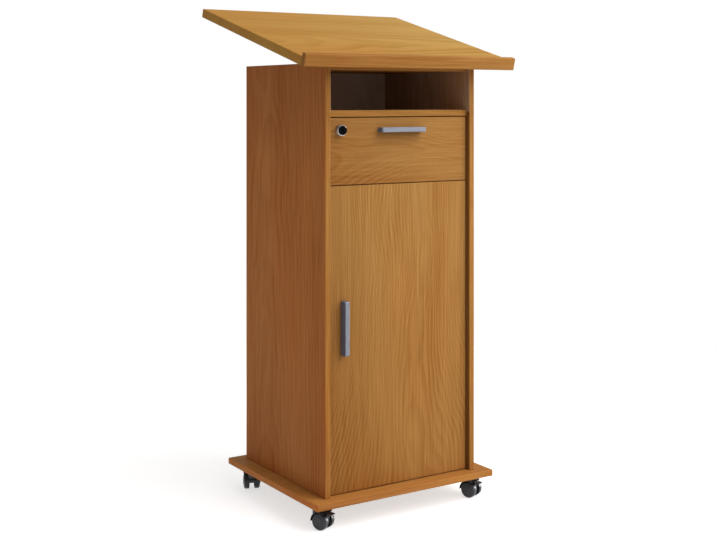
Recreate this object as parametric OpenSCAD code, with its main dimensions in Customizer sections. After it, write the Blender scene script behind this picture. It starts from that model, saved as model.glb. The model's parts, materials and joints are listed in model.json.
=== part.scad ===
// Standing desk on castors: a tall cabinet with an open compartment, a lockable drawer, a cupboard
// and a tilting reading top. Millimetres, +Z up, +X to the user's right, +Y away from the user.
// The origin is on the floor, under the middle of the whole desk.

/* [Cabinet] */
// Outside width of the cabinet
cabinet_w = 430; // [390:1:520]
// Outside depth of the cabinet
cabinet_d = 390; // [350:1:460]
// Height of the side panels above the base board
cabinet_h = 999; // [930:1:1060]
// Thickness of the side panels, shelves, top and back of the cabinet
panel_t = 15; // [12:0.5:19]
// How far the door, drawer front and shelf edges sit back from the front of the side panels
front_recess = 12; // [6:0.5:16]
// How far the back panel sits in from the rear of the side panels
back_recess = 2; // [0.5:0.5:8]
// Radius of the edge banding
edge_r = 1.6; // [0.8:0.1:2.5]

/* [Base board] */
// Thickness of the base board
base_t = 15; // [12:0.5:25]
// How far the base board reaches out past each side of the cabinet
base_side = 38; // [25:1:60]
// How far the base board reaches out past the front of the cabinet
base_front = 28; // [15:1:60]
// How far the base board reaches out past the rear of the cabinet
base_rear = 28; // [15:1:60]
// Radius of the base board's corners, seen from above
base_corner_r = 5; // [3:0.5:12]

/* [Reading top] */
// Width of the reading board
top_w = 600; // [520:1:720]
// Length of the reading board along its slope, with the lip
top_l = 540; // [480:1:600]
// Thickness of the reading board
top_t = 22; // [16:0.5:28]
// Slope of the reading board as it stands, in degrees
tilt = 15; // [10:0.5:20]
// How far the lip stands in front of the cabinet, along the slope
top_overhang = 50.7; // [30:0.5:80]
// Thickness of the lip that stops the papers
lip_t = 15; // [10:0.5:20]
// How far the lip stands up from the reading board
lip_rise = 9; // [5:0.5:20]
// Radius of the lip's edges
lip_r = 3; // [1.5:0.5:4]

/* [Tilt fittings] */
// Distance of each ratchet fitting from the middle of the desk
fitting_x = 140; // [90:1:165]
// Radius of the round ratchet housing and of the leaf heads on it
ratchet_r = 11; // [9:0.5:14]
// Thickness of the ratchet housing
ratchet_t = 7; // [5:0.5:10]
// Thickness of the steel leaves
leaf_t = 2.5; // [2:0.5:3]
// Length of each leaf's flange along the desk's depth
leaf_l = 76; // [60:1:100]
// Width of each leaf's flange
leaf_w = 34; // [26:1:50]
// Radius of the rivet that each fitting turns on
rivet_r = 3; // [2.5:0.25:4]

/* [Open compartment] */
// Clear height of the open compartment
compartment_h = 95; // [70:1:130]

/* [Drawer] */
// Height of the drawer front
drawer_front_h = 156; // [140:1:190]
// Thickness of the door and of the drawer front
front_t = 15; // [14:0.5:16]
// Gap between one front and the next, and between the fronts and the shelf or base
front_gap = 2; // [1.5:0.5:4]
// Gap between the fronts and the side panels
side_gap = 2; // [1.5:0.5:3]
// Height of the drawer box
drawer_box_h = 118; // [100:1:120]
// Free space between the drawer box and the back panel
drawer_rear_room = 26; // [10:1:120]
// Thickness of the drawer's sides and back
drawer_side_t = 12; // [11:0.5:14]
// Thickness of the drawer's bottom
drawer_bottom_t = 4; // [3:0.5:6]
// Height of the wooden runner rail that each drawer side slides on
rail_h = 16; // [12:1:24]
// Width of the runner rail
rail_w = 8; // [6:0.5:9]

/* [Lock] */
// Distance of the lock's middle from the left edge of the drawer front
lock_in = 30; // [28:0.5:60]
// Distance of the lock's middle and of the drawer handle below the top edge of the drawer front
lock_down = 29; // [24:0.5:32]
// Radius of the lock's chromed collar
collar_r = 13.2; // [12.4:0.2:16]
// How far the collar stands out of the drawer front
collar_proud = 11; // [3:0.5:14]
// How far the face of the plug stands out of the collar
plug_out = 4; // [0.5:0.5:6]
// Radius of the lock's turning plug
plug_r = 10.2; // [8:0.1:10.6]
// Reach of the locking cam from the middle of the lock
cam_reach = 36; // [34:0.5:42]

/* [Handles] */
// Length of each handle
handle_l = 126; // [90:1:180]
// Width of each handle
handle_w = 11.5; // [10:0.5:16]
// How far each handle stands out from its front
handle_out = 21; // [18:0.5:32]
// Thickness of the handle's front, which the fingers go behind
handle_front_t = 5; // [4:0.5:8]
// Thickness of the long side that closes the handle
handle_side_t = 3; // [2.5:0.5:5]
// Length of each foot of the handle
handle_foot = 14; // [8:0.5:20]
// Distance of the door handle's middle from the left edge of the door
door_handle_in = 38; // [25:1:60]
// Height of the door handle's middle above the bottom edge of the door
door_handle_up = 383; // [200:1:500]

/* [Cupboard] */
// Height of the loose shelf above the base board
shelf_up = 346; // [250:1:450]
// How far the loose shelf stays behind the door
shelf_setback = 26; // [10:1:120]
// Radius of the pegs that the loose shelf lies on
peg_r = 2.5; // [2:0.25:3]
// Distance of each door hinge from the top or bottom edge of the door
hinge_from_end = 90; // [60:1:140]
// Radius of the cup that each hinge sets into the door
cup_r = 17.5; // [17:0.5:20]
// Depth of the hinge cup in the door
cup_depth = 12; // [11.5:0.5:12.5]

/* [Castors] */
// Diameter of the castor wheels
wheel_d = 40; // [36:1:50]
// Width of each wheel of a twin castor
wheel_w = 14.8; // [12:0.2:18]
// Gap between the two wheels of a castor
wheel_gap = 13.8; // [12:0.2:18]
// How far the wheels trail behind the swivel pin
trail = 16; // [13:0.5:20]
// Distance of the swivel pins in from the sides of the base board
castor_in_x = 37.5; // [28:0.5:60]
// Distance of the swivel pins in from the front and rear of the base board
castor_in_y = 62; // [45:1:80]
// Side of the square mounting plate
castor_plate = 38; // [34:1:46]
// Gap between the top of the wheels and the mounting plate
castor_head = 15; // [11:0.5:20]
// Angle of each castor about its swivel pin: front left, front right, rear left, rear right
castor_turn = [24.5, 20, 158, 214];

/* [Hidden] */
// Clearances
run_fit = 0.05;      // between a pin and the bore that turns on it
press_fit = 0.02;    // between a pin and the bore that holds it
slide_fit = 0.3;     // between the drawer and its rails, and round loose wooden parts
rest_gap = 0.3;      // between the reading board and the front corners of the side panels
turn_gap = 0.4;      // between flat parts that turn side by side
swing_clear = 0.5;   // between the opening door's edge and the side panel
wheel_clear = 1;     // between a wheel and the hood round it
sink_fit = 0.1;      // round a part let into a bore that does not turn

// Holes for screws in metal parts, and round pin heads beside the pin's radius
screw_r = 2.2;
head_by = 1.7;

// Facets of arcs drawn point by point, and of turned parts
ease_steps = 4;
turned_fn = 64;
pin_fn = 32;

// Levels, from the floor up
wheel_r = wheel_d / 2;
plate_t = 2.5;
castor_h = wheel_d + castor_head + plate_t;
base_z1 = castor_h + base_t;
top_z = base_z1 + cabinet_h;
shelf_z1 = top_z - panel_t - compartment_h;
shelf_z0 = shelf_z1 - panel_t;
drawer_z1 = shelf_z0 - front_gap;
drawer_z0 = drawer_z1 - drawer_front_h;
door_z1 = drawer_z0 - front_gap;
door_z0 = base_z1 + front_gap;
divider_z1 = drawer_z0 - front_gap / 2 + panel_t / 2;
divider_z0 = divider_z1 - panel_t;

// Tilt axis: its height over the cabinet, its distance to the reading board, and its place
// behind the cabinet's front, at which the board just clears the side panels' front corners
pivot_up = ratchet_r + 2;
pivot_to_board = ratchet_r + 2;
pivot_in = (pivot_to_board + pivot_up * cos(tilt) - rest_gap) / sin(tilt);
corner_u = -pivot_in * cos(tilt) - pivot_up * sin(tilt);
lip_u = corner_u - top_overhang;
rear_u = lip_u + top_l;
lip_h = top_t + lip_rise;
leaf_shift = 14;
leaf_spread = 2.6;
leaf_screw_in = 9;
leaf_screw_rows = [0.35, 0.75];
housing_rim = 0.6;
housing_cap = 2.5;
housing_rise = 0.3;
rivet_head_t = 1.6;

// Reach of the rounded corners at the front of the lip and the rear of the board, from the axis
lip_front = (lip_u + lip_r) * cos(tilt) - (pivot_to_board + lip_h - lip_r) * sin(tilt) - lip_r;
board_rear = (rear_u - edge_r) * cos(tilt) - (pivot_to_board + edge_r) * sin(tilt) + edge_r;

// Depths: the middle of the whole desk is at y = 0
front_y = -pivot_in - (lip_front + board_rear) / 2;
rear_y = front_y + cabinet_d;
pivot_y = front_y + pivot_in;
pivot_z = top_z + pivot_up;
face_y = front_y + front_recess;
face_back_y = face_y + front_t;
back_y0 = rear_y - back_recess - panel_t;

// Widths
half_w = cabinet_w / 2;
inner_x = half_w - panel_t;
front_half_w = inner_x - side_gap;

// Drawer box and rails
box_gap = 1.5;
box_lift = 3;
box_z0 = divider_z1 + box_lift;
box_z1 = box_z0 + drawer_box_h;
box_x = inner_x - box_gap;
box_y1 = back_y0 - drawer_rear_room;
rail_z0 = box_z0 + (drawer_box_h - rail_h) / 2;
rail_setback = 8;
bottom_up = 9;
bottom_groove = 6;
groove_room = 0.2;
back_drop = 6;

// Lock
lock_x = -front_half_w + lock_in;
lock_z = drawer_z1 - lock_down;
barrel_r = plug_r + 1.7;
barrel_behind = 7;
cam_t = 2.5;
cam_w = 14;
tail_r = 4;
tail_end = 1.5;
keyway_w = 2.2;
keyway_l = 9;
keyway_deep = 10;
notch_r = 1.7;
plug_edge = 0.6;
collar_ring = collar_r - plug_r;
cam_y0 = face_back_y + barrel_behind + turn_gap;
pocket_margin = 1.5;
pocket_depth = lock_z + cam_reach - shelf_z0 + pocket_margin;
cam_tip_r = norm([cam_reach, cam_w / 2]);
pocket_half = sqrt(pow(cam_tip_r, 2) - pow(shelf_z0 - lock_z, 2)) + pocket_margin;

// Door hinge: the pin lies inside the cup, so far from the door's edge that the edge swings clear
cup_wall = 0.8;
pin_r = 1.5;
eye_r = 2.6;
pin_deep = cup_depth - cup_wall - eye_r - 0.3;
pin_from_face = front_t - pin_deep;
swing_room = side_gap - swing_clear;
pin_from_edge = (pow(pin_from_face, 2) - pow(swing_room, 2)) / (2 * swing_room);
pin_x = front_half_w - pin_from_edge;
pin_y = face_y + pin_from_face;
door_sweep = norm([pin_from_edge, pin_deep]) - pin_deep;
divider_y0 = face_back_y + door_sweep + swing_clear;
cup_from_edge = cup_r + 5;
cup_x = front_half_w - cup_from_edge;
cup_flange_t = 1.2;
cup_flange_w = 20;
cup_screw_out = 8;
arm_w = 12;
arm_t = 2;
neck = 14;
hinge_plate_t = 2.5;
hinge_wing_l = 48;
hinge_wing_w = 16;
hinge_screw_in = 6;
cup_flange_end = 5.6;
cup_flange_round = 4;
cup_flange_l = 2 * (cup_r + cup_screw_out + cup_flange_end);
neck_rise = norm([pin_from_edge, pin_deep]) + arm_t / 2 + 2;
arm_side_x = inner_x - hinge_plate_t - 3.5;
arm_run = 48;
hinge_zs = [door_z0 + hinge_from_end, door_z1 - hinge_from_end];

// Handles
handle_edge = 1.2;
handle_corner = 3.5;
handle_crook = 3;
handle_room = handle_out - handle_front_t;

// Shelf pegs
peg_in = 40;
peg_depth = 10;
peg_out = 8;
peg_collar_t = 1.5;
peg_collar_r = peg_r * 1.4;
loose_fit = 1;
loose_shelf_z0 = base_z1 + shelf_up;
peg_collar_z = loose_shelf_z0 - peg_r * 1.5;
loose_shelf_y1 = back_y0 - 2 * loose_fit;
loose_shelf_y0 = face_back_y + shelf_setback;
peg_ys = [loose_shelf_y0 + peg_in, loose_shelf_y1 - peg_in];
peg_step = 32;

// Castors
king_r = 5;
king_l = 16;
king_z0 = castor_h - plate_t - king_l;
plate_hole_in = 5;
race_r = 11;
race_t = 1.2;
axle_r = 3;
axle_half = wheel_gap / 2 + wheel_w * 0.7;
web_half = wheel_gap / 2 - turn_gap;
web_r = wheel_r * 0.35;
web_out = wheel_r * 0.75;
hood_t = 1.5;
hood_r = wheel_r + wheel_clear + hood_t;
hood_half = wheel_gap / 2 + wheel_w - 1;
hood_edge = 1;
guard_rear = 1;
guard_front = 56;
boss_r = 11.5;
boss_in = 8;
rim_t = 4.5;
hub_r = 7.5;
dome_rise = 1.8;
groove_at = wheel_r * 0.6;
groove = 0.6;
shoulder = 5;
lever_out = wheel_r * 0.56;
lever_up = wheel_r * 0.84;
lever_pin_r = 1.8;
lever_ear_r = 4.6;
lever_hub_r = 3.4;
lever_hub_half = 3;
lever_reach = wheel_r * 1.4;
pedal_t = 3.2;
pedal_half = wheel_gap / 2 + 1.1;
castor_names = ["front_left", "front_right", "rear_left", "rear_right"];
castor_x = half_w + base_side - castor_in_x;
castor_y0 = front_y - base_front + castor_in_y;
castor_y1 = rear_y + base_rear - castor_in_y;
castor_spots = [for (y = [castor_y0, castor_y1], x = [-castor_x, castor_x]) [x, y]];
castor_ids = [0, 1, 2, 3];
braked_ids = [0, 1];

// Colours
beech = [0.72, 0.47, 0.22];
beech_light = [0.78, 0.55, 0.29];
board_core = [0.80, 0.70, 0.52];
handle_grey = [0.60, 0.63, 0.70];
chrome = [0.85, 0.85, 0.87];
zinc = [0.70, 0.72, 0.74];
black = [0.10, 0.10, 0.11];
castor_black = [0.20, 0.20, 0.22];

// Outline of a rectangle with eased corners, centred
function eased_outline(w, h, r) = [
    for (corner = [[1, 1, 0], [-1, 1, 90], [-1, -1, 180], [1, -1, 270]], i = [0 : ease_steps])
        let (a = corner[2] + 90 * i / ease_steps)
        [corner[0] * (w / 2 - r) + r * cos(a), corner[1] * (h / 2 - r) + r * sin(a)]
];

// Points of an arc about a centre
function arc(centre, r, a0, a1, steps) = [
    for (i = [0 : steps])
        let (a = a0 + (a1 - a0) * i / steps)
        centre + r * [cos(a), sin(a)]
];

// Board with all its edges eased, between two opposite corners
module eased_board(lo, hi, r = edge_r, corner_r = edge_r) {
    size = hi - lo;
    translate((lo + hi) / 2)
        intersection() {
            linear_extrude(size.z + 2, center = true)
                polygon(eased_outline(size.x, size.y, corner_r));
            rotate([90, 0, 0])
                linear_extrude(size.y + 2, center = true)
                    polygon(eased_outline(size.x, size.z, r));
            rotate([90, 0, 90])
                linear_extrude(size.x + 2, center = true)
                    polygon(eased_outline(size.y, size.z, r));
        }
}

// Board with only its front edge eased, as a shelf between two panels has
module shelf_board(lo, hi, r = edge_r) {
    d = hi.y - lo.y;
    t = hi.z - lo.z;
    translate(lo)
        rotate([90, 0, 90])
            linear_extrude(hi.x - lo.x)
                polygon(concat(
                    arc([r, t - r], r, 90, 180, ease_steps),
                    arc([r, r], r, 180, 270, ease_steps),
                    [[d, 0], [d, t]]));
}

module block(lo, hi) translate(lo) cube(hi - lo);

// Children on both sides of the desk's middle plane
module both_sides() {
    children();
    mirror([1, 0, 0]) children();
}

// Round pin or bore along an axis of the desk
module pin_x(p, r, l, fn = pin_fn) translate(p) rotate([0, 90, 0]) cylinder(r = r, h = l, $fn = fn);
module pin_y(p, r, l, fn = pin_fn) translate(p) rotate([-90, 0, 0]) cylinder(r = r, h = l, $fn = fn);
module pin_z(p, r, l, fn = pin_fn) translate(p) cylinder(r = r, h = l, $fn = fn);

// Holes for the pegs of the loose shelf, drilled from the inside of a side panel
module peg_holes(inside_x) {
    for (y = peg_ys, step = [-1 : 1])
        pin_x([inside_x, y, loose_shelf_z0 - peg_r + step * peg_step], peg_r + press_fit, peg_depth);
}

module base_board() {
    color(beech)
        eased_board([-half_w - base_side, front_y - base_front, castor_h],
                    [half_w + base_side, rear_y + base_rear, base_z1],
                    r = edge_r + 1, corner_r = base_corner_r);
}

module side_panel() {
    difference() {
        eased_board([inner_x, front_y, base_z1], [half_w, rear_y, top_z]);
        peg_holes(inner_x - 0.01);
    }
}

module right_side_panel() color(beech) side_panel();

module left_side_panel() color(beech) mirror([1, 0, 0]) side_panel();

module top_panel() {
    color(beech)
        shelf_board([-inner_x, face_y, top_z - panel_t], [inner_x, rear_y - back_recess, top_z]);
}

module back_panel() {
    color(beech)
        block([-inner_x, back_y0, base_z1], [inner_x, rear_y - back_recess, top_z - panel_t]);
}

// The shelf under the open compartment has a slot that the lock's cam turns up into
module fixed_shelf() {
    color(beech)
        difference() {
            shelf_board([-inner_x, face_y, shelf_z0], [inner_x, back_y0, shelf_z1]);
            block([lock_x - cam_w / 2 - pocket_margin, cam_y0 - pocket_margin, shelf_z0 - 1],
                  [lock_x + pocket_half, cam_y0 + cam_t + pocket_margin, shelf_z0 + pocket_depth]);
        }
}

// The panel under the drawer, behind the path of the door's edge
module divider_panel() {
    color(beech)
        shelf_board([-inner_x, divider_y0, divider_z0], [inner_x, back_y0, divider_z1]);
}

module adjustable_shelf() {
    color(beech)
        shelf_board([-inner_x + loose_fit, loose_shelf_y0, loose_shelf_z0],
                    [inner_x - loose_fit, loose_shelf_y1, loose_shelf_z0 + panel_t]);
}

// Steel pegs with a collar against the panel
module shelf_pegs() {
    color(zinc)
        both_sides()
            for (y = peg_ys) {
                pin_x([inner_x - peg_out, y, loose_shelf_z0 - peg_r], peg_r, peg_out + peg_depth - 0.5);
                pin_x([inner_x - peg_collar_t, y, peg_collar_z], peg_collar_r, peg_collar_t);
            }
}

module drawer_rails() {
    color(board_core)
        both_sides()
            block([inner_x - rail_w, face_back_y + rail_setback, rail_z0],
                  [inner_x, back_y0 - rail_setback, rail_z0 + rail_h]);
}

// Plates screwed to the right side panel, one behind each hinge arm
module hinge_plates() {
    plate_l = arm_run + arm_w / 2;
    color(zinc)
        for (z = hinge_zs)
            translate([inner_x, pin_y + neck_rise - arm_w / 4 + plate_l / 2, z])
                rotate([90, 0, -90])
                    difference() {
                        linear_extrude(hinge_plate_t)
                            union() {
                                polygon(eased_outline(plate_l, arm_w, arm_w / 6));
                                polygon(eased_outline(hinge_wing_w, hinge_wing_l, hinge_wing_w / 2.5));
                            }
                        for (s = [-1, 1])
                            pin_z([0, s * (hinge_wing_l / 2 - hinge_screw_in), -1],
                                  screw_r, hinge_plate_t + 2);
                    }
}

// Arm of a cup hinge: an eye round the pin, a gooseneck out of the cup and a run along the panel
module hinge_arm_profile() {
    difference() {
        union() {
            circle(r = eye_r, $fn = pin_fn);
            translate([-neck - arm_t / 2, -arm_t / 2]) square([neck + arm_t / 2, arm_t]);
            translate([-neck - arm_t / 2, -arm_t / 2]) square([arm_t, neck_rise + arm_t]);
            translate([-neck - arm_t / 2, neck_rise - arm_t / 2])
                square([neck + arm_t / 2 + arm_side_x - pin_x, arm_t]);
            translate([arm_side_x - pin_x - arm_t / 2, neck_rise - arm_t / 2])
                square([inner_x - hinge_plate_t - arm_side_x + arm_t / 2, arm_run]);
        }
        circle(r = pin_r + run_fit, $fn = pin_fn);
    }
}

module hinge_arms() {
    color(zinc)
        for (z = hinge_zs)
            translate([pin_x, pin_y, z - arm_w / 2])
                linear_extrude(arm_w)
                    hinge_arm_profile();
}

// Mounting plates and swivel pins of the castors, fixed under the base board
module castor_plates() {
    hole = castor_plate / 2 - plate_hole_in;
    color(zinc)
        for (spot = castor_spots)
            translate([spot.x, spot.y, 0])
                difference() {
                    union() {
                        translate([0, 0, castor_h - plate_t])
                            linear_extrude(plate_t)
                                polygon(eased_outline(castor_plate, castor_plate, plate_hole_in / 2));
                        pin_z([0, 0, king_z0], king_r, king_l + plate_t / 2);
                        pin_z([0, 0, castor_h - plate_t - race_t], race_r, race_t + plate_t / 2, turned_fn);
                    }
                    for (sx = [-1, 1], sy = [-1, 1])
                        pin_z([sx * hole, sy * hole, castor_h - plate_t - 1], screw_r, plate_t + 2);
                }
}

// Leaf of a tilt fitting: a flange with screw holes and a web that ends in a round head.
// The flange lies on the plane z = -reach; the web stands at x = 0 to leaf_t; the axis is at y = z = 0.
module tilt_leaf(reach, shift, hole_r) {
    foot_y0 = max(-leaf_spread * ratchet_r, shift - leaf_l / 2);
    foot_y1 = min(leaf_spread * ratchet_r, shift + leaf_l / 2);
    difference() {
        union() {
            translate([leaf_t - leaf_w, shift - leaf_l / 2, -reach]) cube([leaf_w, leaf_l, leaf_t]);
            rotate([90, 0, 90])
                linear_extrude(leaf_t)
                    union() {
                        circle(r = ratchet_r, $fn = turned_fn);
                        polygon([[-ratchet_r, 0], [foot_y0, -reach + leaf_t],
                                 [foot_y0, -reach], [foot_y1, -reach],
                                 [foot_y1, -reach + leaf_t], [ratchet_r, 0]]);
                    }
        }
        pin_x([-1, 0, 0], hole_r, leaf_t + 2);
        for (s = [-1, 1], row = leaf_screw_rows)
            pin_z([leaf_t - leaf_w * row, shift + s * (leaf_l / 2 - leaf_screw_in), -reach - 1],
                  screw_r, leaf_t + 2);
    }
}

// Lower leaves stand on the top panel and carry the round ratchet housings
module tilt_lower_leaves() {
    color(zinc)
        both_sides()
            translate([fitting_x, pivot_y, pivot_z]) {
                tilt_leaf(pivot_up, leaf_shift, rivet_r + press_fit);
                difference() {
                    union() {
                        pin_x([leaf_t / 2, 0, 0], ratchet_r - housing_rim,
                              leaf_t / 2 + ratchet_t, turned_fn);
                        pin_x([leaf_t / 2, 0, 0], ratchet_r - housing_cap,
                              leaf_t / 2 + ratchet_t + housing_rise, turned_fn);
                    }
                    pin_x([-1, 0, 0], rivet_r + press_fit, leaf_t + ratchet_t + 3);
                }
            }
}

// Upper leaves are screwed under the reading board and turn beside the housings
module tilt_upper_leaves() {
    color(zinc)
        both_sides()
            translate([fitting_x, pivot_y, pivot_z])
                rotate([tilt, 0, 0])
                    translate([2 * leaf_t + ratchet_t + 2 * turn_gap, 0, 0])
                        rotate([180, 0, 180])
                            tilt_leaf(pivot_to_board, -leaf_shift, rivet_r + run_fit);
}

module tilt_rivets() {
    stack = 2 * leaf_t + ratchet_t + 3 * turn_gap;
    color(chrome)
        both_sides()
            translate([fitting_x, pivot_y, pivot_z]) {
                pin_x([-rivet_head_t, 0, 0], rivet_r, stack + 2 * rivet_head_t);
                for (x = [-rivet_head_t, stack])
                    pin_x([x, 0, 0], rivet_r * head_by, rivet_head_t);
            }
}

// Children in the frame of the sloping top: its origin on the tilt axis, y up the slope
module sloped() translate([0, pivot_y, pivot_z]) rotate([tilt, 0, 0]) children();

module reading_board() {
    color(beech_light)
        sloped()
            eased_board([-top_w / 2, lip_u + lip_t, pivot_to_board],
                        [top_w / 2, rear_u, pivot_to_board + top_t]);
}

module paper_lip() {
    color(beech_light)
        sloped()
            eased_board([-top_w / 2, lip_u, pivot_to_board],
                        [top_w / 2, lip_u + lip_t, pivot_to_board + lip_h], r = lip_r);
}

module drawer_front() {
    color(beech_light)
        difference() {
            eased_board([-front_half_w, face_y, drawer_z0], [front_half_w, face_back_y, drawer_z1]);
            pin_y([lock_x, face_y - 1, lock_z], barrel_r + sink_fit, front_t + 2, turned_fn);
        }
}

// Side of the drawer, grooved outside for the rail and inside for the bottom
module drawer_side() {
    difference() {
        block([box_x - drawer_side_t, face_back_y, box_z0], [box_x, box_y1, box_z1]);
        block([inner_x - rail_w - slide_fit, face_back_y - 1, rail_z0 - slide_fit],
              [box_x + 1, box_y1 + 1, rail_z0 + rail_h + slide_fit]);
        block([box_x - drawer_side_t - 1, face_back_y - 1, box_z0 + bottom_up],
              [box_x - drawer_side_t + bottom_groove, box_y1 + 1,
               box_z0 + bottom_up + drawer_bottom_t + groove_room]);
    }
}

module drawer_right_side() color(board_core) drawer_side();

module drawer_left_side() color(board_core) mirror([1, 0, 0]) drawer_side();

module drawer_back() {
    inside = box_x - drawer_side_t;
    color(board_core)
        block([-inside, box_y1 - drawer_side_t, box_z0 + bottom_up + drawer_bottom_t + groove_room],
              [inside, box_y1, box_z1 - back_drop]);
}

module drawer_bottom() {
    reach = box_x - drawer_side_t + bottom_groove - slide_fit;
    color(board_core)
        block([-reach, face_back_y, box_z0 + bottom_up],
              [reach, box_y1, box_z0 + bottom_up + drawer_bottom_t]);
}

// Pull along x on the plane y = 0, standing out to -y. Its ends and its lower long side are closed, and
// the fingers go in behind its front from +z
module handle() {
    half = handle_l / 2;
    body = concat(
        [[-half, 0]],
        arc([-half + handle_corner, -handle_out + handle_corner], handle_corner, 180, 270, 6),
        arc([half - handle_corner, -handle_out + handle_corner], handle_corner, 270, 360, 6),
        [[half, 0]]);
    hollow = concat(
        [[half - handle_foot, 1]],
        arc([half - handle_foot - handle_crook, handle_crook - handle_room], handle_crook, 0, -90, 5),
        arc([handle_foot + handle_crook - half, handle_crook - handle_room], handle_crook, -90, -180, 5),
        [[handle_foot - half, 1]]);
    difference() {
        intersection() {
            linear_extrude(handle_w, center = true) polygon(body);
            rotate([90, 0, 0])
                linear_extrude(2 * handle_out, center = true)
                    polygon(eased_outline(handle_l, handle_w, handle_edge));
            rotate([90, 0, 90])
                linear_extrude(handle_l, center = true)
                    polygon(eased_outline(2 * handle_out, handle_w, handle_edge));
        }
        translate([0, 0, handle_side_t]) linear_extrude(handle_w, center = true) polygon(hollow);
    }
}

module drawer_handle() {
    color(handle_grey)
        translate([0, face_y, lock_z])
            rotate([0, 180, 0])
                handle();
}

module door_handle() {
    color(handle_grey)
        translate([-front_half_w + door_handle_in, face_y, door_z0 + door_handle_up])
            rotate([0, 90, 0])
                handle();
}

// Chromed collar with a rounded rim, and the barrel that goes through the drawer front, about z
module lock_body() {
    bore_r = plug_r + run_fit;
    lead = collar_ring * 0.2;
    round_r = collar_ring * 0.5;
    rotate_extrude($fn = turned_fn)
        polygon(concat(
            [[bore_r, collar_proud - lead], [bore_r + lead, collar_proud]],
            arc([collar_r - lead / 2 - round_r, collar_proud - round_r], round_r, 90, 10, 5),
            [[collar_r, 0], [barrel_r, 0], [barrel_r, -front_t - barrel_behind],
             [bore_r, -front_t - barrel_behind]]));
}

module lock_housing() {
    color(chrome)
        translate([lock_x, face_y, lock_z])
            rotate([90, 0, 0])
                lock_body();
}

// Plug with a keyway and two notches in its face, and a tail that carries the cam
module lock_plug() {
    back = front_t + barrel_behind;
    out = collar_proud + plug_out;
    color(black)
        translate([lock_x, face_y, lock_z])
            rotate([90, 0, 0])
                difference() {
                    union() {
                        pin_z([0, 0, -back], plug_r, back + out - plug_edge, turned_fn);
                        translate([0, 0, out - plug_edge])
                            cylinder(r1 = plug_r, r2 = plug_r - plug_edge, h = plug_edge, $fn = turned_fn);
                        pin_z([0, 0, -back - turn_gap - cam_t - tail_end], tail_r,
                              cam_t + turn_gap + tail_end + 1);
                    }
                    translate([-keyway_w / 2, -keyway_l / 2, out - keyway_deep])
                        cube([keyway_w, keyway_l, keyway_deep + 1]);
                    for (s = [-1, 1])
                        pin_z([0, s * plug_r, collar_proud - 0.5], notch_r, plug_out + 1);
                }
}

// Cam that turns up into the slot of the fixed shelf; it points right when the drawer is free
module lock_cam() {
    color(zinc)
        translate([lock_x, cam_y0, lock_z])
            rotate([-90, 0, 0])
                difference() {
                    linear_extrude(cam_t)
                        union() {
                            circle(r = cam_w / 2, $fn = pin_fn);
                            translate([0, -cam_w / 2]) square([cam_reach, cam_w]);
                        }
                    pin_z([0, 0, -1], tail_r + press_fit, cam_t + 2);
                }
}

module door_panel() {
    color(beech_light)
        difference() {
            eased_board([-front_half_w, face_y, door_z0], [front_half_w, face_back_y, door_z1]);
            for (z = hinge_zs)
                pin_y([cup_x, face_back_y - cup_depth, z], cup_r + press_fit, cup_depth + 1, turned_fn);
        }
}

// Pressed steel cups let into the door, each with its fixing flange
module hinge_cups() {
    color(zinc)
        for (z = hinge_zs)
            translate([cup_x, face_back_y, z])
                difference() {
                    union() {
                        pin_y([0, -cup_depth, 0], cup_r, cup_depth, turned_fn);
                        rotate([-90, 0, 0])
                            linear_extrude(cup_flange_t)
                                polygon(eased_outline(cup_flange_w, cup_flange_l, cup_flange_round));
                        pin_y([0, 0, 0], cup_r + 1, cup_flange_t, turned_fn);
                    }
                    pin_y([0, cup_wall - cup_depth, 0], cup_r - cup_wall, cup_depth + 2, turned_fn);
                    for (s = [-1, 1])
                        pin_y([0, -1, s * (cup_r + cup_screw_out)], screw_r, cup_flange_t + 2);
                }
}

// Pins of the hinges, held between the walls of the cups
module hinge_pins() {
    off = pin_x - cup_x;
    half = sqrt(pow(cup_r - cup_wall, 2) - pow(off + pin_r, 2)) - sink_fit;
    color(chrome)
        for (z = hinge_zs)
            pin_z([pin_x, pin_y, z - half], pin_r, 2 * half);
}

// Children in a castor's own frame: swivel axis at x = y = 0, wheels trailing to -y
module at_castor(i) {
    translate([castor_spots[i].x, castor_spots[i].y, 0])
        rotate([0, 0, castor_turn[i]])
            children();
}

// Mudguard over both wheels: an eased drum about the axle, kept from low at its rear to its front edge
module mudguard() {
    far = 3 * wheel_r;
    side = hood_half;
    edge = hood_r - hood_edge;
    intersection() {
        rotate([0, 90, 0])
            rotate_extrude($fn = turned_fn)
                polygon(concat([[0, -side]],
                               arc([edge, -side + hood_edge], hood_edge, -90, 0, ease_steps),
                               arc([edge, side - hood_edge], hood_edge, 0, 90, ease_steps),
                               [[0, side]]));
        rotate([90, 0, 90])
            linear_extrude(4 * side, center = true)
                polygon([[0, 0], [far, -far * tan(guard_rear)],
                         [far, far], [-far / tan(guard_front), far]]);
    }
}

// Web between the wheels: round under the axle, and flat in front up to the brake lever's ears
module hood_web() {
    front = web_out - web_r;
    rotate([90, 0, 90])
        linear_extrude(2 * web_half, center = true)
            polygon(concat(arc([0, 0], web_r, 0, -90, 6), arc([-front, 0], web_r, -90, -180, 6),
                           [[-lever_out - lever_ear_r + 1, lever_up - 1], [0, lever_up - 1]]));
}

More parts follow.
